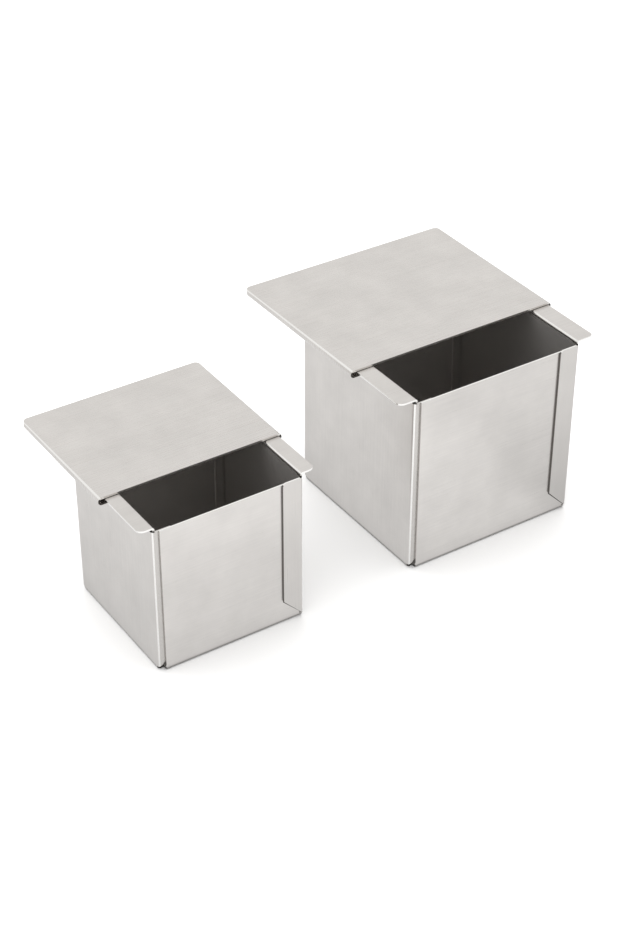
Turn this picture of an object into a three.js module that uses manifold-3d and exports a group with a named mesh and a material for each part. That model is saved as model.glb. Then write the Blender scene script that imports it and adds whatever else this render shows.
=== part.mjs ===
import * as THREE from 'three';
import { mergeVertices } from 'three/addons/utils/BufferGeometryUtils.js';
import Module from 'manifold-3d';

// Two cube croissant moulds of one design. Each is a box folded from one steel sheet, with a hemmed lid
// that slides along the box's two flanges. Millimetres, +Z up, lids open towards +Y.
// The origin is the centre of the large mould's underside.

// Large mould, outside sizes
const LARGE_WIDTH = 80;
const LARGE_LENGTH = 80;
const LARGE_HEIGHT = 82;
const LARGE_FLANGE = 7.8;
const LARGE_TAB = 9.5;
const LARGE_LID_LENGTH = 79;
const LARGE_LID_OPENING = 29;

// Small mould, outside sizes
const SMALL_WIDTH = 64;
const SMALL_LENGTH = 64;
const SMALL_HEIGHT = 68;
const SMALL_FLANGE = 5.8;
const SMALL_TAB = 9;
const SMALL_LID_LENGTH = 63;
const SMALL_LID_OPENING = 25.5;

// Clear distance between the two moulds' walls, with their front walls in one line
const SET_SPACING = 52;

// Sheet and folds
const SHEET = 0.8;
const BEND_RADIUS = 0.5;
const RIM_DROP = 2.6;
const CORNER_SLIT = 1.4;
const TAB_SLIT = 0.4;
const WALL_TRIM = 5;
const WELD_DEPTH = 0.05;
const FLANGE_CORNER = 3;
const TAB_CORNER = 1.5;

// Lid hems
const LID_GAP = 0.2;
const HEM_GAP = 0.7;
const SIDE_CLEARANCE = 1.2;
const LID_OFFSET = 0.7;
const HEM_RETURN = 4.5;
const LID_CORNER = 2;

const STEPS_PER_QUARTER_BEND = 5;
const CUT_MARGIN = 1;

const MIDDLE_RADIUS = BEND_RADIUS + SHEET / 2;
const OUTER_RADIUS = BEND_RADIUS + SHEET;

const AXIS_X = new THREE.Vector3(1, 0, 0);
const AXIS_Y = new THREE.Vector3(0, 1, 0);
const AXIS_Z = new THREE.Vector3(0, 0, 1);

const wasm = await Module();
wasm.setup();

// A closed geometry as a solid that can be joined and cut
function toSolid(geometry) {
  geometry.deleteAttribute('normal');
  geometry.deleteAttribute('uv');
  const merged = mergeVertices(geometry);
  const mesh = new wasm.Mesh({
    numProp: 3,
    vertProperties: new Float32Array(merged.attributes.position.array),
    triVerts: new Uint32Array(merged.index.array),
  });
  return new wasm.Manifold(mesh);
}

// A solid back as a geometry
function toGeometry(solid) {
  const mesh = solid.getMesh();
  const geometry = new THREE.BufferGeometry();
  geometry.setAttribute('position', new THREE.BufferAttribute(new Float32Array(mesh.vertProperties), 3));
  geometry.setIndex(new THREE.BufferAttribute(new Uint32Array(mesh.triVerts), 1));
  geometry.computeVertexNormals();
  return geometry;
}

// The section of a folded strip: it follows the middle of the sheet through straight runs and bends
class FoldedStrip {
  constructor(start, heading) {
    this.point = new THREE.Vector2(...start);
    this.heading = new THREE.Vector2(...heading);
    this.left = [];
    this.right = [];
    this.mark();
  }

  // The two faces of the sheet at the present point
  mark() {
    const side = new THREE.Vector2(-this.heading.y, this.heading.x).multiplyScalar(SHEET / 2);
    this.left.push(this.point.clone().add(side));
    this.right.push(this.point.clone().sub(side));
  }

  run(length) {
    this.point.addScaledVector(this.heading, length);
    this.mark();
    return this;
  }

  // A bend of so many quarter turns, anticlockwise where the turn is +1 and clockwise where it is -1
  bend(turn, quarters = 1, radius = MIDDLE_RADIUS) {
    const steps = STEPS_PER_QUARTER_BEND * quarters;
    const side = new THREE.Vector2(-this.heading.y, this.heading.x);
    const centre = this.point.clone().addScaledVector(side, turn * radius);
    const angle = turn * quarters * Math.PI / 2 / steps;
    const origin = new THREE.Vector2();
    for (let step = 0; step < steps; step += 1) {
      this.point.rotateAround(centre, angle);
      this.heading.rotateAround(origin, angle);
      this.mark();
    }
    return this;
  }

  shape() {
    return new THREE.Shape([...this.left, ...this.right.reverse()]);
  }
}

// Extrusions along Y, X and Z
// A section along Y is drawn in (x, z), one along X in (y, z), one along Z in (x, y)
function extrude(shape, depth) {
  const options = { depth, bevelEnabled: false, curveSegments: STEPS_PER_QUARTER_BEND };
  return new THREE.ExtrudeGeometry(shape, options);
}

function extrudeAlongY(shape, from, to) {
  const basis = new THREE.Matrix4().makeBasis(AXIS_X, AXIS_Z, AXIS_Y.clone().negate());
  return toSolid(extrude(shape, to - from).applyMatrix4(basis).translate(0, to, 0));
}

function extrudeAlongX(shape, from, to) {
  const basis = new THREE.Matrix4().makeBasis(AXIS_Y, AXIS_Z, AXIS_X);
  return toSolid(extrude(shape, to - from).applyMatrix4(basis).translate(from, 0, 0));
}

function extrudeAlongZ(shape, from, to, turn = 0) {
  return toSolid(extrude(shape, to - from).translate(0, 0, from).rotateZ(turn));
}

function rectangle(left, right, low, high) {
  const shape = new THREE.Shape();
  shape.moveTo(left, low);
  shape.lineTo(right, low);
  shape.lineTo(right, high);
  shape.lineTo(left, high);
  return shape;
}

// A rectangle with a radius of its own at each corner: the back right one, which is always rounded, then the
// back left, the front left and the front right
function roundedRectangle(left, right, halfLength, radii) {
  const corners = [[right, halfLength], [left, halfLength], [left, -halfLength], [right, -halfLength]];
  const shape = new THREE.Shape();
  corners.forEach(([x, y], place) => {
    const radius = radii[place];
    const centreX = x === right ? x - radius : x + radius;
    const centreY = y > 0 ? y - radius : y + radius;
    const start = place * Math.PI / 2;
    if (radius > 0) {
      shape.absarc(centreX, centreY, radius, start, start + Math.PI / 2);
    } else {
      shape.lineTo(x, y);
    }
  });
  return shape;
}

// Distance from the middle of the box to the middle of a side wall's tabs. The right wall's tabs lie outside
// the front and back walls, the left wall's tabs inside them
function tabFace(size, side) {
  const wallMiddle = size.length / 2 - SHEET / 2;
  return wallMiddle + side * (SHEET - WELD_DEPTH);
}

// Half the length of a side wall between the bends into its tabs
function straightHalf(size, side) {
  return tabFace(size, side) - MIDDLE_RADIUS;
}

// The flange and its bend, as the start of the folded section across the box
function flangeStrip(size, side) {
  const tip = [side * (size.width / 2 + size.flange), size.height - SHEET / 2];
  const strip = new FoldedStrip(tip, [-side, 0]);
  return strip.run(size.flange + SHEET / 2 - MIDDLE_RADIUS).bend(side);
}

// Half of the folded section across the box: flange, side wall and the floor as far as the middle
function sideWall(size, side) {
  const wallRun = size.height - SHEET - 2 * MIDDLE_RADIUS;
  const floorRun = size.width / 2 - SHEET / 2 - MIDDLE_RADIUS;
  const strip = flangeStrip(size, side).run(wallRun).bend(-side).run(floorRun + CUT_MARGIN);
  const half = straightHalf(size, side);
  const wall = extrudeAlongY(strip.shape(), -half, half);

  // The flange and its bend run on to the faces of the front and back walls, above the slits over the tabs
  const flange = extrudeAlongY(flangeStrip(size, side).shape(), -size.length / 2, size.length / 2);
  const inner = size.width / 2 - SHEET - CUT_MARGIN;
  const outer = size.width / 2 + size.flange;
  const radii = [FLANGE_CORNER, 0, 0, FLANGE_CORNER];
  const outline = roundedRectangle(inner, outer, size.length / 2, radii);
  const turn = side > 0 ? 0 : Math.PI;
  const blank = extrudeAlongZ(outline, size.height - RIM_DROP, size.height + CUT_MARGIN, turn);
  return wall.add(flange.intersect(blank));
}

// Front wall, floor and back wall in one section along the box. Behind the right wall's tabs the walls are
// trimmed back from the corner, down to the mitred foot of the tab
function frontAndBack(size) {
  const wallRun = size.height - RIM_DROP - SHEET / 2 - MIDDLE_RADIUS;
  const floorRun = size.length - SHEET - 2 * MIDDLE_RADIUS;
  const strip = new FoldedStrip([-size.length / 2 + SHEET / 2, size.height - RIM_DROP], [0, -1]);
  strip.run(wallRun).bend(1).run(floorRun).bend(1).run(wallRun);
  const leftEdge = -size.width / 2 + OUTER_RADIUS + CORNER_SLIT;
  const rightEdge = size.width / 2 - OUTER_RADIUS;
  const walls = extrudeAlongX(strip.shape(), leftEdge, rightEdge);
  const trimFoot = OUTER_RADIUS + size.tab;
  const trimmed = rectangle(size.width / 2 - WALL_TRIM, size.width / 2, trimFoot, size.height);
  const reach = size.length / 2 + CUT_MARGIN;
  return walls.subtract(extrudeAlongY(trimmed, -reach, reach));
}

// A tab folded round a corner, mitred at the bottom and rounded at its free top corner
function cornerTab(size, side, end) {
  const half = straightHalf(size, side);
  const start = [side * (size.width / 2 - SHEET / 2), end * (half - CUT_MARGIN)];
  const strip = new FoldedStrip(start, [0, end]);
  strip.run(CUT_MARGIN).bend(side * end).run(size.tab - OUTER_RADIUS);
  const bottom = OUTER_RADIUS;
  const top = size.height - TAB_SLIT - (side > 0 ? OUTER_RADIUS : RIM_DROP);
  const band = extrudeAlongZ(strip.shape(), bottom, top);

  const edge = size.width / 2 + CUT_MARGIN;
  const free = size.width / 2 - size.tab;
  const outline = new THREE.Shape();
  outline.moveTo(side * edge, bottom - CUT_MARGIN);
  outline.lineTo(side * edge, top);
  outline.lineTo(side * (free + TAB_CORNER), top);
  outline.quadraticCurveTo(side * free, top, side * free, top - TAB_CORNER);
  outline.lineTo(side * free, bottom + size.tab);
  const reach = size.length / 2 + OUTER_RADIUS + CUT_MARGIN;
  return band.intersect(extrudeAlongY(outline, -reach, reach));
}

function mouldBody(size) {
  let body = frontAndBack(size);
  for (const side of [-1, 1]) {
    body = body.add(sideWall(size, side));
    for (const end of [-1, 1]) {
      body = body.add(cornerTab(size, side, end));
    }
  }
  return body;
}

// The lid: a plate whose long edges turn down round the flanges' edges and back under them. The hems are cut
// square at the front, and the back corners are rounded
function slidingLid(size) {
  const hemRadius = SHEET + (LID_GAP + HEM_GAP) / 2;
  const hemCentre = size.width / 2 + size.flange + SIDE_CLEARANCE + SHEET / 2 - hemRadius;
  const returnLevel = size.height - SHEET - HEM_GAP - SHEET / 2;
  const strip = new FoldedStrip([-hemCentre + HEM_RETURN, returnLevel], [-1, 0]);
  strip.run(HEM_RETURN).bend(-1, 2, hemRadius).run(2 * hemCentre).bend(-1, 2, hemRadius).run(HEM_RETURN);
  const lid = extrudeAlongY(strip.shape(), -size.lidLength / 2, size.lidLength / 2);

  const reach = hemCentre + hemRadius + SHEET / 2;
  const radii = [LID_CORNER, LID_CORNER, 0, 0];
  const outline = roundedRectangle(-reach, reach, size.lidLength / 2, radii);
  const above = size.height + LID_GAP + SHEET + CUT_MARGIN;
  return lid.intersect(extrudeAlongZ(outline, returnLevel - CUT_MARGIN, above));
}

const bodySteel = new THREE.MeshStandardMaterial({ color: 0xcfcbc6, roughness: 0.35, metalness: 1 });
const lidSteel = new THREE.MeshStandardMaterial({ color: 0xd5d2ce, roughness: 0.32, metalness: 1 });

// One mould with its lid drawn back by the opening, and lying to the left in its side play
function mould(name, size) {
  const group = new THREE.Group();
  const body = new THREE.Mesh(toGeometry(mouldBody(size)), bodySteel);
  body.name = `${name}_mould_body`;
  const lid = new THREE.Mesh(toGeometry(slidingLid(size)), lidSteel);
  lid.name = `${name}_sliding_lid`;
  lid.position.x = -LID_OFFSET;
  lid.position.y = (size.lidLength - size.length) / 2 + size.lidOpening;
  group.add(body, lid);
  return group;
}

const large = mould('large', {
  width: LARGE_WIDTH,
  length: LARGE_LENGTH,
  height: LARGE_HEIGHT,
  flange: LARGE_FLANGE,
  tab: LARGE_TAB,
  lidLength: LARGE_LID_LENGTH,
  lidOpening: LARGE_LID_OPENING,
});

const small = mould('small', {
  width: SMALL_WIDTH,
  length: SMALL_LENGTH,
  height: SMALL_HEIGHT,
  flange: SMALL_FLANGE,
  tab: SMALL_TAB,
  lidLength: SMALL_LID_LENGTH,
  lidOpening: SMALL_LID_OPENING,
});
small.position.x = -(LARGE_WIDTH / 2 + SET_SPACING + SMALL_WIDTH / 2);
small.position.y = -(LARGE_LENGTH - SMALL_LENGTH) / 2;

const set = new THREE.Group();
set.add(large, small);

export default set;
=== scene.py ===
# %% [markdown]
# Two cube croissant moulds in folded, brushed stainless steel. Each mould is a box bent up from one
# blank, with a lid whose long edges are hemmed round the box's flanges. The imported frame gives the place
# and size of every piece, so this lesson only makes them look right: true folds, thin cut edges, and a
# brushed grain.

# %% Load the frame
import math
import bpy
import bmesh
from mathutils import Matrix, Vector


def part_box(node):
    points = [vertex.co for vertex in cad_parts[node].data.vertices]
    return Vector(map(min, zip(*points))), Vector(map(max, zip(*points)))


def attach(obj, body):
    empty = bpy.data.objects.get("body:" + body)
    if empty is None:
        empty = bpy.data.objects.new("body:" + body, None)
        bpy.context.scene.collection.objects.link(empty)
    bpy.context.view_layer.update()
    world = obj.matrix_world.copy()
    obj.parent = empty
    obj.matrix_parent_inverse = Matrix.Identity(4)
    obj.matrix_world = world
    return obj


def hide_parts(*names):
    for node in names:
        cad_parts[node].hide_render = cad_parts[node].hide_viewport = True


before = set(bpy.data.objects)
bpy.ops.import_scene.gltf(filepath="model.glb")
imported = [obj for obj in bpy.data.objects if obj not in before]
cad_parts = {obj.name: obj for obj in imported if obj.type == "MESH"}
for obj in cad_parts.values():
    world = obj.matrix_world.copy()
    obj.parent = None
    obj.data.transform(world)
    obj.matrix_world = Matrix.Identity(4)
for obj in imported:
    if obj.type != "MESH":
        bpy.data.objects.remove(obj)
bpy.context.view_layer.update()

# %% [markdown]
# A folded sheet has few sizes of its own: the thickness, the radius of its bends, and the widths of what
# is folded over. They are named here in metres, and the overall sizes of each mould come from the frame.

# %% Sheet sizes
MM = 0.001
SHEET = 0.8 * MM
BEND = 0.9 * MM            # radius at the middle of the sheet
OUTER = BEND + SHEET / 2   # radius at the outside of a bend
RIM_DROP = 2.6 * MM        # front and back walls end this far below the flanges
CORNER_SLIT = 1.4 * MM     # between the left wall's bends and the front and back walls
TAB_SLIT = 0.4 * MM        # between a flange's bend and the tab below it
WALL_TRIM = 5.0 * MM       # front and back walls stop this far from the right, behind the tabs
RELIEF = 0.3 * MM          # extra room cut out where three bends would meet
LIP = 0.2 * MM             # straight edge left below a flange's bend, past the end of the wall
HAIR = 0.06 * MM           # the gap between a tab and the wall it lies on
# SEAM gives the width of a line of painted shadow below a tab's mitred foot
SEAM = 0.45 * MM           # width of the dark line below a tab's mitred foot
FLANGE_CORNER = 3.0 * MM
TAB_CORNER = 1.5 * MM
LID_CORNER = 2.0 * MM
HEM_RETURN = 4.5 * MM
HEM_FLAT = 0.2 * MM        # straight part between the two bends of a hem
BURR = 0.12 * MM           # rounding of the cut edges
BURR_STEPS = 2
BURR_ANGLE = math.radians(50)
SMOOTH_ANGLE = math.radians(35)
BEND_STEPS = 6
CORNER_STEPS = 5
LEFT, RIGHT = -1, 1
FRONT, BACK = -1, 1

MOULDS = {
    "large": {"flange": 7.8 * MM, "tab": 9.5 * MM},
    "small": {"flange": 5.8 * MM, "tab": 9.0 * MM},
}

# %% [markdown]
# The camera comes first, so that every later render can be compared with the photograph. The moulds are
# seen from the front left and above, through a fairly long lens. The lens is worked out from the
# picture's width in pixels, because that is how the view was measured. No one camera fits both moulds,
# so this is a compromise between them.

# %% Camera
PICTURE_WIDTH = 621
FOCAL_PIXELS = 1963
SENSOR_WIDTH = 36.0
CAMERA_PLACE = Vector((-0.4196, -0.5451, 0.4863))
VIEW_DIRECTION = Vector((0.4515, 0.6884, -0.5677))

camera_data = bpy.data.cameras.new("camera")
camera_data.sensor_fit = "HORIZONTAL"
camera_data.sensor_width = SENSOR_WIDTH
camera_data.lens = SENSOR_WIDTH * FOCAL_PIXELS / PICTURE_WIDTH
camera = bpy.data.objects.new("camera", camera_data)
bpy.context.scene.collection.objects.link(camera)
camera.location = CAMERA_PLACE
camera.rotation_euler = VIEW_DIRECTION.to_track_quat("-Z", "Y").to_euler()
bpy.context.scene.camera = camera
print("lens", round(camera_data.lens, 1), "mm")

# %% [markdown]
# Sheet metal is easiest to model as a surface without thickness, folded along straight lines. Edges are
# picked by where they lie, an extrusion makes the next face, and a bevel turns a sharp fold into a bend.
# These helpers do the picking, so that each step below reads like a step at the folding machine.

# %% Picking and folding helpers
NEAR = 0.02 * MM


def close(a, b):
    return abs(a - b) < NEAR


def start_sheet(name, low, high, level):
    """A flat rectangular blank at the given level, left in edit mode."""
    bpy.ops.object.select_all(action="DESELECT")
    bpy.ops.mesh.primitive_plane_add(size=1)
    sheet = bpy.context.object
    sheet.name = name
    bpy.ops.object.mode_set(mode="EDIT")
    size = (high[0] - low[0], high[1] - low[1], 1)
    bpy.ops.transform.resize(value=size)
    middle = ((low[0] + high[0]) / 2, (low[1] + high[1]) / 2, level)
    bpy.ops.transform.translate(value=middle)
    return sheet


def pick(kind, test):
    """Select the vertices, edges or faces of the open sheet that pass a test on their points."""
    bpy.ops.mesh.select_mode(type=kind)
    bpy.ops.mesh.select_all(action="DESELECT")
    data = bpy.context.edit_object.data
    mesh = bmesh.from_edit_mesh(data)
    parts = {"VERT": mesh.verts, "EDGE": mesh.edges, "FACE": mesh.faces}[kind]
    picked = 0
    for part in parts:
        points = [part.co] if kind == "VERT" else [v.co for v in part.verts]
        if test(points):
            part.select_set(True)
            picked += 1
    bmesh.update_edit_mesh(data)
    return picked


def everywhere(points):
    return True


def cut(point, normal, test=everywhere):
    """Cut the faces that pass a test along a plane, so that a fold or a slit can start there."""
    pick("FACE", test)
    bpy.ops.mesh.bisect(plane_co=point, plane_no=normal)


def cut_away(test):
    pick("FACE", test)
    bpy.ops.mesh.delete(type="FACE")


def fold_out(move):
    """Extrude the picked edges into the next face."""
    bpy.ops.mesh.extrude_edges_move(TRANSFORM_OT_translate={"value": move})


def on_line(axis_a, value_a, axis_b=None, value_b=None):
    """A test for points that all share one coordinate, or two."""
    def test(points):
        first = all(close(p[axis_a], value_a) for p in points)
        second = axis_b is None or all(close(p[axis_b], value_b) for p in points)
        return first and second
    return test


def at_point(x, y, z):
    """A test for points at one place."""
    def test(points):
        return all(close(p.x, x) and close(p.y, y) and close(p.z, z) for p in points)
    return test


def round_corners(test, radius):
    pick("VERT", test)
    bpy.ops.mesh.bevel(
        offset=radius, segments=CORNER_STEPS, affect="VERTICES", clamp_overlap=False,
    )


def bend_edges(test, radius):
    count = pick("EDGE", test)
    bpy.ops.mesh.bevel(offset=radius, segments=BEND_STEPS, affect="EDGES", clamp_overlap=False)
    return count


def thicken(sheet, thickness):
    """Give the folded surface its thickness, deburr its cut edges and keep its flat faces flat."""
    bpy.ops.mesh.select_all(action="SELECT")
    bpy.ops.mesh.normals_make_consistent(inside=False)
    bpy.ops.object.mode_set(mode="OBJECT")
    wall = sheet.modifiers.new("thickness", "SOLIDIFY")
    wall.thickness = thickness
    wall.offset = 0
    wall.use_even_offset = True
    bpy.ops.object.modifier_apply(modifier=wall.name)
    burr = sheet.modifiers.new("cut edges", "BEVEL")
    burr.width = BURR
    burr.segments = BURR_STEPS
    burr.limit_method = "ANGLE"
    burr.angle_limit = BURR_ANGLE
    bpy.ops.object.modifier_apply(modifier=burr.name)
    bpy.ops.object.mode_set(mode="EDIT")
    bpy.ops.mesh.select_all(action="SELECT")
    bpy.ops.mesh.dissolve_degenerate(threshold=NEAR / 10)
    bpy.ops.object.mode_set(mode="OBJECT")
    bpy.ops.object.shade_smooth_by_angle(angle=SMOOTH_ANGLE)
    flats = sheet.modifiers.new("flat faces", "WEIGHTED_NORMAL")
    flats.keep_sharp = True
    bpy.ops.object.modifier_apply(modifier=flats.name)


# %% [markdown]
# Each box is measured once. The outside comes from its node in the frame, and everything else is the
# middle of the sheet: where the walls stand, where the tabs lie, and how far the straight part of a side
# wall reaches. The right wall's tabs close outside the front and back walls and the left wall's tabs
# inside. The tests on faces say where the steel will later be marked, and compare a face's normal with
# the four shares named first.

# %% Measure a box
FACING = 0.9      # the face looks along an axis
TURNED = 0.75     # below this it has turned away from the axis
UPWARD = 0.5      # the face looks up more than sideways
DOWNWARD = -0.1   # a bend that turns further down is out of sight


class Box:
    def __init__(self, name, node, flange, tab):
        low, high = (Vector(corner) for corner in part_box(node))
        self.name = name
        self.flange = flange
        self.tab = tab
        self.centre = (low + high) / 2
        self.half_width = (high.x - low.x) / 2 - flange
        self.half_length = (high.y - low.y) / 2 - SHEET - HAIR
        self.wall_x = self.half_width - SHEET / 2
        self.wall_y = self.half_length - SHEET / 2
        self.floor = low.z + SHEET / 2
        self.flange_level = high.z - SHEET / 2
        self.rim = high.z - RIM_DROP
        self.foot = OUTER + RELIEF
        self.lip = self.flange_level - BEND - LIP
        self.tab_top = {LEFT: self.rim - TAB_SLIT, RIGHT: high.z - OUTER - TAB_SLIT}
        self.tab_y = {LEFT: self.wall_y - SHEET - HAIR, RIGHT: self.wall_y + SHEET + HAIR}
        self.reach = {
            side: min(self.tab_y[side], self.wall_y) - BEND - RELIEF for side in (LEFT, RIGHT)
        }
        self.left_edge = self.centre.x - self.half_width + OUTER + CORNER_SLIT
        self.right_edge = self.centre.x + self.half_width - OUTER - RELIEF
        self.free_x = self.centre.x + self.half_width - tab

    def side_x(self, side):
        return self.centre.x + side * self.wall_x

    def on_end_wall(self, points):
        return all(close(abs(p.y - self.centre.y), self.wall_y) for p in points)

    def outside_tab(self, point):
        """Whether a point lies on one of the right wall's tabs, outside the end walls."""
        beyond = abs(point.y - self.centre.y) > self.half_length + HAIR / 2
        return point.x > self.centre.x and beyond

    def on_tab(self, point):
        """Whether a point lies on one of the four tabs, which carry the side walls' grain."""
        beside = abs(point.x - self.centre.x) > self.half_width - self.tab
        behind = self.half_length - SHEET - HAIR / 2 - abs(point.y - self.centre.y)
        inside_tab = point.x < self.centre.x and 0 < behind < 1.5 * SHEET
        return beside and (inside_tab or self.outside_tab(point))

    def on_tab_face(self, face):
        return abs(face.normal.y) > FACING and self.on_tab(face.center)

    def seam_shade(self, face):
        """How much painted shadow a face gets: a hole, a slit, an outside tab's cut edge or the line below
        its foot.
        """
        if self.at_relief(face.center) or self.at_slit(face.center):
            return 1.0
        if face.center.x > self.centre.x + self.half_width - OUTER:
            return 0.0
        if self.outside_tab(face.center):
            cut_edge = abs(face.normal.y) < TURNED and face.normal.z < UPWARD
            return EDGE_SHADE if cut_edge else 0.0
        outwards = face.normal.y * (face.center.y - self.centre.y) > 0
        past_tab_edge = face.center.x > self.free_x
        above_mitre = face.center.x - self.free_x + face.center.z - self.foot - self.tab
        in_line = above_mitre > -SEAM * math.sqrt(2)
        return 1.0 if outwards and past_tab_edge and in_line else 0.0

    def at_relief(self, point):
        """Whether a point lies at a hole at a left corner's foot, where three bends meet."""
        from_side = point.x - self.centre.x + self.half_width
        from_end = self.half_length - abs(point.y - self.centre.y)
        in_corner = max(from_side, from_end) < OUTER + CORNER_SLIT
        return in_corner and point.z < self.foot + SHEET

    def at_slit(self, point):
        """Whether a point lies at a slit between a flange's end and the tab below it."""
        side = LEFT if point.x < self.centre.x else RIGHT
        from_side = self.half_width - abs(point.x - self.centre.x)
        from_end = self.half_length - abs(point.y - self.centre.y)
        level = self.tab_top[side] - SHEET / 2 < point.z < self.lip + NEAR
        return level and from_side < 2 * SHEET and from_end < OUTER + CORNER_SLIT

    def on_inside(self, face):
        """Whether a face looks into the box."""
        ahead = face.center + face.normal * (SHEET / 3)
        within_x = abs(ahead.x - self.centre.x) < self.half_width - SHEET / 2
        within_y = abs(ahead.y - self.centre.y) < self.half_length
        top = self.rim if face.normal.z > UPWARD else self.lip
        return within_x and within_y and self.floor < ahead.z < top

    def on_bend_highlight(self, face):
        """Whether a face is a bend or a cut edge that looks outwards or up; these faces get a painted
        highlight.
        """
        at_flange = abs(face.center.z - self.flange_level) < SHEET / 2
        flange_edge = at_flange and abs(face.normal.z) < UPWARD
        rim = face.normal.z > FACING and face.center.z < self.flange_level - SHEET
        bend = is_bend(face) and face.normal.z > DOWNWARD
        return (bend or flange_edge or rim) and not self.on_inside(face)


# %% [markdown]
# The blank is a cross. Its corners are cut away, and then the front and back walls and the two side walls
# stand up. The front and back walls are trimmed on the right, where the tabs will cover them, and the
# side walls end in flanges at the top. Two more cuts on the end walls outline the line of painted shadow
# that will follow each right tab's mitred foot.

# %% Cut the blank and stand the walls
def stand_walls(box):
    low = (box.centre.x - box.wall_x, box.centre.y - box.wall_y)
    high = (box.centre.x + box.wall_x, box.centre.y + box.wall_y)
    sheet = start_sheet(box.name, low, high, box.floor)
    for x in (box.left_edge, box.right_edge):
        cut((x, 0, 0), (1, 0, 0))
    for end in (FRONT, BACK):
        for side in (LEFT, RIGHT):
            cut((0, box.centre.y + end * box.reach[side], 0), (0, 1, 0))

    def corner_of_blank(points):
        x = sum(p.x for p in points) / len(points)
        y = abs(sum(p.y for p in points) / len(points) - box.centre.y)
        side = LEFT if x < box.centre.x else RIGHT
        return not box.left_edge < x < box.right_edge and y > box.reach[side]

    cut_away(corner_of_blank)
    for end in (FRONT, BACK):
        pick("EDGE", on_line(1, box.centre.y + end * box.wall_y))
        fold_out((0, 0, box.rim - box.floor))

    trim_x = box.centre.x + box.half_width - WALL_TRIM
    trim_z = OUTER + box.tab
    cut((trim_x, 0, 0), (1, 0, 0), box.on_end_wall)
    cut((0, 0, trim_z), (0, 0, 1), box.on_end_wall)

    def behind_tab(points):
        past_trim = all(p.x > trim_x - NEAR and p.z > trim_z - NEAR for p in points)
        return box.on_end_wall(points) and past_trim

    cut_away(behind_tab)
    mitre = (box.free_x, 0, box.foot + box.tab - SEAM * math.sqrt(2))
    cut(mitre, (1, 0, 0), box.on_end_wall)
    cut(mitre, (1, 0, 1), box.on_end_wall)
    cut((0, 0, box.foot - LIP), (0, 0, 1), box.on_end_wall)
    for side in (LEFT, RIGHT):
        pick("EDGE", on_line(0, box.side_x(side), 2, box.floor))
        fold_out((0, 0, box.flange_level - box.floor))
        pick("EDGE", on_line(0, box.side_x(side), 2, box.flange_level))
        fold_out((side * (box.flange + SHEET / 2), 0, 0))
    print(box.name, "walls and flanges stand")
    return sheet


# %% [markdown]
# Each flange runs on with its bend to the faces of the front and back walls, past the end of its own wall.
# Under it the wall folds into a tab, with a slit between the two that lets both bend freely.

# %% Carry the flanges on and fold the tabs
def carry_flange(box, side, end):
    y = box.centre.y + end * box.reach[side]

    def flange_end(points):
        above = all(close(p.y, y) and p.z > box.lip - NEAR for p in points)
        return above and all(side * (p.x - box.centre.x) > box.wall_x - NEAR for p in points)

    pick("EDGE", flange_end)
    fold_out((0, end * (box.half_length - box.reach[side]), 0))
    tip_x = box.centre.x + side * (box.half_width + box.flange)
    tip_y = box.centre.y + end * box.half_length
    round_corners(at_point(tip_x, tip_y, box.flange_level), FLANGE_CORNER)


def fold_tab(box, side, end):
    x = box.side_x(side)
    y = box.centre.y + end * box.reach[side]
    top = box.tab_top[side]

    def wall_end(points):
        upright = all(close(p.x, x) and close(p.y, y) for p in points)
        return upright and all(box.foot - NEAR < p.z < top + NEAR for p in points)

    pick("EDGE", wall_end)
    fold_out((0, end * (box.tab_y[side] - box.reach[side]), 0))
    tab_y = box.centre.y + end * box.tab_y[side]
    pick("EDGE", on_line(0, x, 1, tab_y))
    fold_out((-side * (box.tab - SHEET / 2), 0, 0))
    free_x = x - side * (box.tab - SHEET / 2)
    pick("VERT", at_point(free_x, tab_y, box.foot))
    bpy.ops.transform.translate(value=(0, 0, box.tab))
    round_corners(at_point(free_x, tab_y, top), TAB_CORNER)


# %% [markdown]
# With every face in place, all the fold lines are picked at once and beveled into bends of one radius. On
# the right the feet of the front and back walls run on under the tabs to the corner, and then the surface
# gets its thickness.

# %% Fold a box
def fold_box(name, node, flange, tab):
    box = Box(name, node, flange, tab)
    sheet = stand_walls(box)
    for side in (LEFT, RIGHT):
        for level in (box.foot, box.tab_top[side], box.lip):
            cut((0, 0, level), (0, 0, 1), on_line(0, box.side_x(side)))
        for end in (FRONT, BACK):
            carry_flange(box, side, end)
            fold_tab(box, side, end)

    def fold_line(points):
        low = all(close(p.z, box.floor) for p in points)
        high = all(close(p.z, box.flange_level) for p in points)
        if low and box.on_end_wall(points):
            return True
        for side in (LEFT, RIGHT):
            on_wall = all(close(p.x, box.side_x(side)) for p in points)
            at_tab = all(close(abs(p.y - box.centre.y), box.tab_y[side]) for p in points)
            if on_wall and (low or high or at_tab):
                return True
        return False

    def foot_of_end_wall(points):
        past_side_bend = all(abs(p.y - box.centre.y) > box.reach[RIGHT] + NEAR for p in points)
        at_end_of_foot = all(close(p.x, box.right_edge) and p.z < box.foot for p in points)
        return past_side_bend and at_end_of_foot

    folds = bend_edges(fold_line, BEND)
    pick("EDGE", foot_of_end_wall)
    fold_out((OUTER + RELIEF - LIP, 0, 0))
    bpy.ops.mesh.select_all(action="SELECT")
    bpy.ops.mesh.dissolve_degenerate(threshold=NEAR / 4)
    thicken(sheet, SHEET)
    print(name, "has", folds, "fold edges and", len(sheet.data.polygons), "faces")
    return sheet, box


# %% [markdown]
# The lid is a plate whose two long edges turn down and under. Folding the edge twice through a right
# angle and bending both folds to nearly half the hem's height gives the round hem that runs along the
# flange's edge. At the front the hems are cut square, so their hollow ends show, and at the back the
# corners are rounded.

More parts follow.
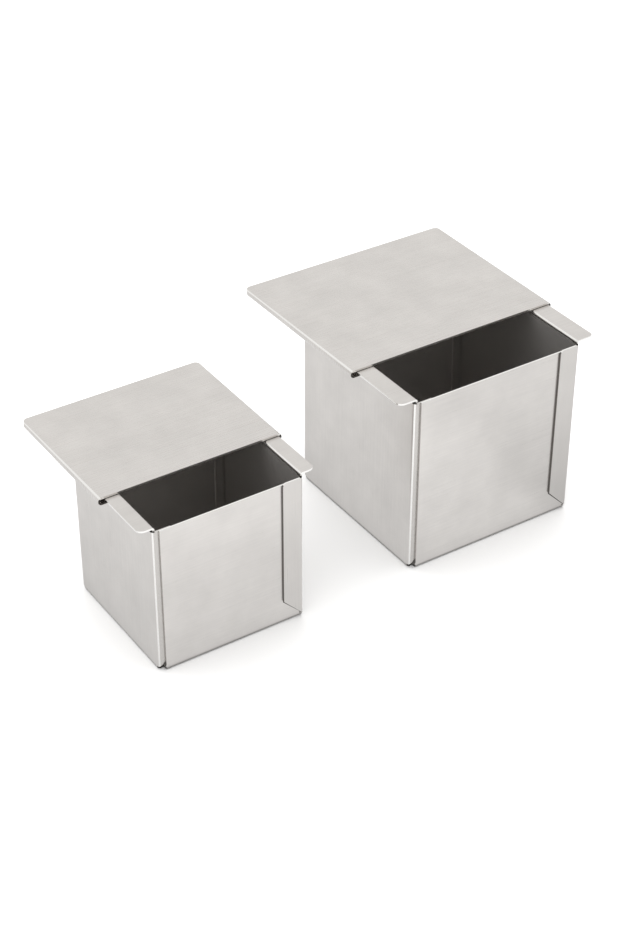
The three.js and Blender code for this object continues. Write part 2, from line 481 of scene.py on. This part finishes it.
# %% Hem a lid
def hem_lid(name, node):
    low, high = (Vector(corner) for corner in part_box(node))
    centre = (low + high) / 2
    half_width = (high.x - low.x) / 2 - SHEET / 2
    half_length = (high.y - low.y) / 2
    level = high.z - SHEET / 2
    hem_height = high.z - low.z - SHEET
    hem_radius = (hem_height - HEM_FLAT) / 2
    near = (centre.x - half_width, centre.y - half_length)
    far = (centre.x + half_width, centre.y + half_length)
    lid = start_sheet(name, near, far, level)
    round_corners(on_line(1, centre.y + half_length), LID_CORNER)
    for side in (LEFT, RIGHT):
        x = centre.x + side * half_width
        pick("EDGE", on_line(0, x, 2, level))
        fold_out((0, 0, -hem_height))
        fold_out((-side * (HEM_RETURN + hem_radius), 0, 0))

    def hem_folds(points):
        along_y = close(points[0].x, points[1].x)
        at_side = close(abs(points[0].x - centre.x), half_width)
        at_level = on_line(2, level)(points) or on_line(2, level - hem_height)(points)
        return along_y and at_side and at_level

    folds = bend_edges(hem_folds, hem_radius)
    thicken(lid, SHEET)
    print(name, "has", folds, "hem folds and", len(lid.data.polygons), "faces")

    def hem_end(face):
        return face.normal.y < -FACING and face.center.z < high.z - SHEET

    return lid, hem_end


# %% [markdown]
# The steel was brushed while it was flat, along one direction of the blank. After folding, the grain lies
# level on the front and back walls and upright on the side walls and their tabs. A map on each piece keeps
# the flat direction: its first number runs along the grain and its second across it.

# %% Lay the grain
def lay_grain(piece, on_tab):
    mesh = piece.data
    grain = mesh.uv_layers.new(name="grain")
    for face in mesh.polygons:
        facing = [abs(n) for n in face.normal]
        widest = facing.index(max(facing))
        for loop in face.loop_indices:
            x, y, z = mesh.vertices[mesh.loops[loop].vertex_index].co
            if widest == 0:
                flat = (z, y)
            elif widest == 2:
                flat = (x, y)
            elif on_tab(face.center):
                flat = (z, x)
            else:
                flat = (x, z)
            grain.data[loop].uv = flat


# %% [markdown]
# Four marks go on the faces for the steel to read. The press burnishes every outer bend, so it is a little
# smoother, and the bends and the deburred edges also get a painted highlight. The cut edges of the outside
# tabs, the line below their mitred feet, the hollow ends of the hems, and the holes and slits at the
# corners lie in shadow, and that shadow is painted dark. The tabs, with their upright grain, get painted
# shade that makes them a little darker than the walls beside them. The inside is smoother, as the plain
# side of the sheet that was never brushed, and painted shade makes it darker.

# %% Mark the bends, the seams, the tabs and the inside
EDGE_SHADE = 0.82   # how dark a tab's cut edge is, from 0 to 1


def is_bend(face):
    return max(abs(n) for n in face.normal) < FACING


def mark_faces(piece, name, test):
    marks = piece.data.attributes.new(name, "FLOAT", "FACE")
    for face in piece.data.polygons:
        marks.data[face.index].value = float(test(face))


# %% Make the pieces
pieces = {}
for size_name, size in MOULDS.items():
    body_node = f"{size_name}_mould_body"
    lid_node = f"{size_name}_sliding_lid"
    body, box = fold_box(f"{size_name}_folded_box", body_node, size["flange"], size["tab"])
    lid, hem_end = hem_lid(f"{size_name}_hemmed_lid", lid_node)
    lay_grain(body, box.on_tab)
    lay_grain(lid, lambda point: False)
    mark_faces(body, "bend", box.on_bend_highlight)
    mark_faces(body, "seam_shadow", box.seam_shade)
    mark_faces(body, "inside", box.on_inside)
    mark_faces(body, "upright", box.on_tab_face)
    mark_faces(lid, "bend", is_bend)
    mark_faces(lid, "seam_shadow", hem_end)
    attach(body, f"{size_name}_mould")
    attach(lid, f"{size_name}_lid")
    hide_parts(body_node)
    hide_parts(lid_node)
    pieces[body_node] = body
    pieces[lid_node] = lid
print("pieces", sorted(piece.name for piece in pieces.values()))

# %% [markdown]
# Shader maths reads best as plain expressions. The small class below wraps a socket, so that adding or
# multiplying two values adds the Math node by itself, and every other node is made by one method.

# %% Shader helper
class Shader:
    def __init__(self, name):
        self.material = bpy.data.materials.new(name)
        self.material.use_nodes = True
        self.tree = self.material.node_tree
        self.tree.nodes.clear()

    def node(self, kind, settings=None, **inputs):
        made = self.tree.nodes.new(kind)
        for key, value in (settings or {}).items():
            setattr(made, key, value)
        for key, value in inputs.items():
            place = int(key[1:]) if key[0] == "_" else key.replace("_", " ")
            socket = made.inputs[place]
            if isinstance(value, Value):
                self.tree.links.new(value.socket, socket)
            else:
                socket.default_value = value
        return made

    def value(self, node, output=0):
        return Value(self, node.outputs[output])

    def ramp(self, source, stops):
        made = self.node("ShaderNodeValToRGB", _0=source)
        while len(made.color_ramp.elements) < len(stops):
            made.color_ramp.elements.new(0.5)
        for element, (place, grey) in zip(made.color_ramp.elements, stops):
            element.position = place
            element.color = (grey, grey, grey, 1)
        return self.value(made)

    def mix(self, factor, first, second):
        made = self.node("ShaderNodeMix", {"data_type": "RGBA"}, _0=factor, _6=first, _7=second)
        return self.value(made, 2)

    def mark(self, name):
        return self.value(self.node("ShaderNodeAttribute", {"attribute_name": name}), 2)

    def finish(self, surface):
        self.node("ShaderNodeOutputMaterial", _0=surface)
        return self.material


class Value:
    def __init__(self, shader, socket):
        self.shader = shader
        self.socket = socket

    def maths(self, operation, *others):
        inputs = {f"_{place}": other for place, other in enumerate(others)}
        made = self.shader.node("ShaderNodeMath", {"operation": operation}, **inputs)
        return self.shader.value(made)

    def __add__(self, other):
        return self.maths("ADD", self, other)

    def __mul__(self, other):
        return self.maths("MULTIPLY", self, other)

    def __rsub__(self, other):
        return self.maths("SUBTRACT", other, self)

    def __sub__(self, other):
        return self.maths("SUBTRACT", self, other)

    __radd__ = __add__
    __rmul__ = __mul__


# %% [markdown]
# Brushed steel is one metal with many fine scratches that all run the same way. Stretched noise gives
# them: a coarse set that can be seen at arm's length and a fine set that only breaks up the gloss. Both
# change the colour a little, the roughness more, and lift the surface by a hair, and a cloud that isn't
# stretched varies the colour over wider spots. The marks then paint a highlight on the bends, paint shade
# on the inside, which is also smoother and less metallic, and paint shade on the tabs and shadow in the
# seams.

# %% Brushed steel
STEEL = (0.74, 0.715, 0.69)
# painted highlight on the outer bends, the hem bends and the deburred edges
BEND_HIGHLIGHT = (0.95, 0.94, 0.92)
# painted shade: the darker colour of the faces inside the box
INSIDE_SHADE = (0.57, 0.55, 0.53)
# painted shadow: the near-black colour of seams, holes, slits and hem ends
SEAM_SHADOW_COLOUR = (0.06, 0.055, 0.05)
COARSE_GRAIN = (14, 1300, 3.0)   # noise per metre along and across the grain, and its detail
FINE_GRAIN = (60, 5200, 2.0)
CLOUD = (60, 60, 3.0)
NOISE_ROUGHNESS = 0.6
TONE_STOPS = [(0.3, 0.0), (0.7, 1.0)]
# the third of these is painted shade that makes the tabs darker than the walls
DARK_TONE, LIGHT_TONE, TAB_SHADE = 0.92, 1.06, 0.88
TAB_SHADE_SHARE = 0.5
GRAIN_ROUGHNESS = 0.12
BEND_POLISH = 0.06
INSIDE_POLISH = 0.16
INSIDE_DULLNESS = 0.3
SCRATCH_STRENGTH = 0.06
SCRATCH_DEPTH = 0.05 * MM
BODY_ROUGHNESS, LID_ROUGHNESS = 0.30, 0.28


def rgba(colour, factor=1.0):
    return tuple(min(1.0, factor * part) for part in colour) + (1.0,)


def brushed_steel(name, colour, roughness):
    shader = Shader(name)
    blank = shader.value(shader.node("ShaderNodeUVMap", {"uv_map": "grain"}))

    def streaks(along, across, detail):
        scaled = shader.node("ShaderNodeMapping", Vector=blank, Scale=(along, across, 1))
        noise = shader.node(
            "ShaderNodeTexNoise", {"noise_dimensions": "2D"},
            Vector=shader.value(scaled), Scale=1.0, Detail=detail, Roughness=NOISE_ROUGHNESS,
        )
        return shader.value(noise)

    coarse = streaks(*COARSE_GRAIN)
    fine = streaks(*FINE_GRAIN)
    cloud = streaks(*CLOUD)
    brush = coarse * 0.5 + fine * 0.5
    tone = shader.ramp(brush * 0.5 + cloud * 0.5, TONE_STOPS)
    bend = shader.mark("bend")
    inside = shader.mark("inside")
    steel = shader.mix(tone, rgba(colour, DARK_TONE), rgba(colour, LIGHT_TONE))
    # painted shade on the tabs
    steel = shader.mix(shader.mark("upright") * TAB_SHADE_SHARE, steel, rgba(colour, TAB_SHADE))
    # painted shade on the inside
    steel = shader.mix(inside, steel, rgba(INSIDE_SHADE))
    # painted highlight on the bends and cut edges
    steel = shader.mix(bend, steel, rgba(BEND_HIGHLIGHT))
    # painted shadow in the seams, holes, slits and hollow hem ends
    steel = shader.mix(shader.mark("seam_shadow"), steel, rgba(SEAM_SHADOW_COLOUR))
    rough = brush * GRAIN_ROUGHNESS + (roughness - GRAIN_ROUGHNESS / 2)
    rough = rough - bend * BEND_POLISH - inside * INSIDE_POLISH
    bump = shader.node(
        "ShaderNodeBump", Strength=SCRATCH_STRENGTH, Distance=SCRATCH_DEPTH, Height=brush,
    )
    metal = shader.node(
        "ShaderNodeBsdfPrincipled", Base_Color=steel, Metallic=1 - inside * INSIDE_DULLNESS,
        Roughness=rough, Normal=shader.value(bump),
    )
    return shader.finish(shader.value(metal))


body_steel = brushed_steel("brushed_body_steel", STEEL, BODY_ROUGHNESS)
lid_steel = brushed_steel("brushed_lid_steel", STEEL, LID_ROUGHNESS)
for node, piece in pieces.items():
    piece.data.materials.clear()
    piece.data.materials.append(lid_steel if node.endswith("lid") else body_steel)
print("steel on", len(pieces), "pieces")

# %% [markdown]
# The moulds stand on a plain white floor in soft, even light. A bright sky gives most of it, and one wide
# lamp overhead adds the faint shadows that set the boxes on the floor. Upright steel mirrors the floor, so
# what the floor shows to a reflection is set apart from what it shows to the camera: to reflections it
# glows, a painted reflection in a pale grey sweep that grows brighter towards the viewer, is a little
# darker on the right, and holds painted shade close to the steel, where a box shades the floor. The lamp
# is hidden from reflections for the same reason.

# %% Floor
FLOOR_SIZE = 6.0
FLOOR_DROP = 0.02 * MM
FLOOR_PAINT = (0.93, 0.93, 0.93, 1)
FLOOR_ROUGHNESS = 0.9
GLOW_STRENGTH = 1.13
SWEEP_FRONT = -0.16
SWEEP_LENGTH = 0.20
SWEEP_STOPS = [(0.2, 1.0), (0.42, 0.9), (0.56, 0.89), (0.66, 0.79)]
SHADE_REACH = 0.15
SHADE_STOPS = [(0.0, 0.1), (0.02, 0.8), (0.1, 0.86), (0.7, 1.0)]
RIGHT_REACH = 0.1
RIGHT_STOPS = [(0.26, 1.02), (0.45, 0.83), (0.85, 0.89)]
bpy.ops.object.select_all(action="DESELECT")
bpy.ops.mesh.primitive_plane_add(size=FLOOR_SIZE, location=(0, 0, -FLOOR_DROP))
floor_piece = bpy.context.object
floor_piece.name = "studio_floor"
floor_shader = Shader("studio_white")
place = floor_shader.value(floor_shader.node("ShaderNodeTexCoord"), 3)
floor_place = floor_shader.node("ShaderNodeSeparateXYZ", _0=place)
across = floor_shader.value(floor_place, 0)
depth = floor_shader.value(floor_place, 1)
right = floor_shader.ramp(across * (1 / RIGHT_REACH), RIGHT_STOPS)
sweep = floor_shader.ramp((depth - SWEEP_FRONT) * (1 / SWEEP_LENGTH), SWEEP_STOPS)
ray = floor_shader.node("ShaderNodeLightPath")
ray_outputs = list(ray.outputs.keys())
mirrored = floor_shader.value(ray, ray_outputs.index("Is Glossy Ray"))
distance = floor_shader.value(ray, ray_outputs.index("Ray Length"))
shade = floor_shader.ramp(distance * (1 / SHADE_REACH), SHADE_STOPS)
paint = floor_shader.node(
    "ShaderNodeBsdfPrincipled", Base_Color=FLOOR_PAINT, Roughness=FLOOR_ROUGHNESS,
)
# painted reflection: the floor glows only to reflected rays, with painted shade near the steel
glow = floor_shader.node(
    "ShaderNodeEmission", Color=sweep * shade * right, Strength=GLOW_STRENGTH,
)
both = floor_shader.node(
    "ShaderNodeMixShader", _0=mirrored,
    _1=floor_shader.value(paint), _2=floor_shader.value(glow),
)
floor_piece.data.materials.append(floor_shader.finish(floor_shader.value(both)))
print("floor of", FLOOR_SIZE, "m")

# %% Light
SKY_COLOUR = (1.0, 0.995, 0.985, 1)
SKY_STRENGTH = 0.9
LAMP_SIZE = 1.8
LAMP_POWER = 21.0
LAMP_PLACE = Vector((-0.1, 0.35, 1.2))
LAMP_AIM = Vector((-0.05, 0, 0))
world = bpy.data.worlds.new("studio")
bpy.context.scene.world = world
world.use_nodes = True
sky = world.node_tree.nodes["Background"]
sky.inputs["Color"].default_value = SKY_COLOUR
sky.inputs["Strength"].default_value = SKY_STRENGTH

lamp_data = bpy.data.lights.new("overhead", "AREA")
lamp_data.shape = "RECTANGLE"
lamp_data.size = LAMP_SIZE
lamp_data.size_y = LAMP_SIZE
lamp_data.energy = LAMP_POWER
lamp = bpy.data.objects.new("overhead", lamp_data)
bpy.context.scene.collection.objects.link(lamp)
lamp.visible_glossy = False
lamp.location = LAMP_PLACE
lamp.rotation_euler = (LAMP_AIM - LAMP_PLACE).to_track_quat("-Z", "Y").to_euler()

bpy.context.scene.view_settings.view_transform = "Standard"
bpy.context.scene.view_settings.look = "None"
print("sky and lamp are set")
